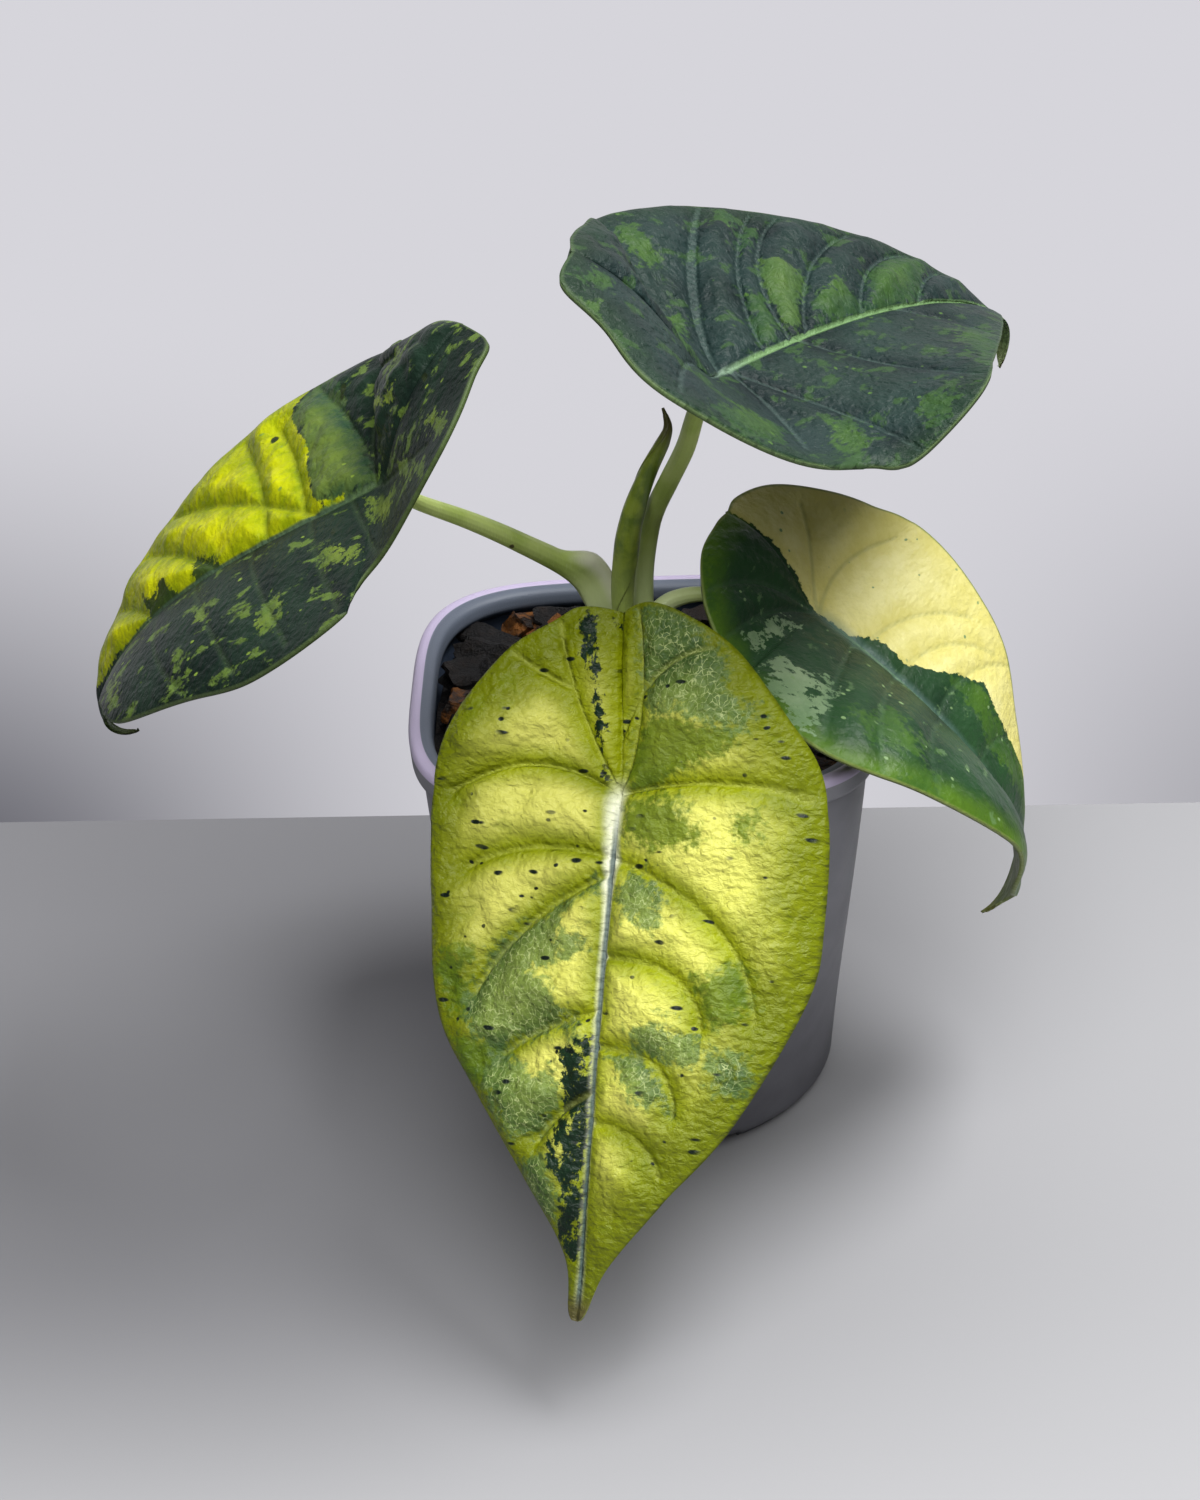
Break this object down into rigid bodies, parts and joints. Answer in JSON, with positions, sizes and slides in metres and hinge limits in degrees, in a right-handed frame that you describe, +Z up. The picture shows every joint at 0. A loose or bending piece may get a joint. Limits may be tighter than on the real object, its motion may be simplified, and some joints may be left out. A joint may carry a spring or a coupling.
{
  "type": "potted alocasia plant",
  "caption": "Small potted aroid: pointed, quilted, variegated leaves on arching stalks and a rolled new leaf, standing in a rounded square nursery pot of chunky mix.",
  "frame": {"origin": "on the surface that the pot stands on, under the middle of its flat base", "axes": "+Z up, -Y towards the side that the front leaf hangs on, +X to the right as seen from that side"},
  "size_m": [0.2134, 0.174, 0.2236],
  "materials": {
    "pot": "matte grey plastic with a paler lip",
    "potting_mix": "damp chunky bark and charcoal",
    "stalk": "smooth light green stalk with a soft sheen",
    "new_leaf": "smooth mid-green rolled leaf",
    "leaf_yellow": "glossy quilted blade, yellow-green with grey-green marbling",
    "leaf_half_yellow": "glossy quilted blade, half yellow and half dark green",
    "leaf_green": "satin quilted blade, dark green with lighter blotches",
    "leaf_half_cream": "satin quilted blade, half cream and half dark green"
  },
  "bodies": {
    "root": {"pot": "pot", "potting_mix": "potting_mix", "crown": "stalk", "petiole_front": "stalk", "petiole_left": "stalk", "petiole_top": "stalk", "petiole_right": "stalk", "new_leaf": "new_leaf", "leaf_front": "leaf_yellow", "leaf_left": "leaf_half_yellow", "leaf_top": "leaf_green", "leaf_right": "leaf_half_cream"}
  },
  "joints": []
}
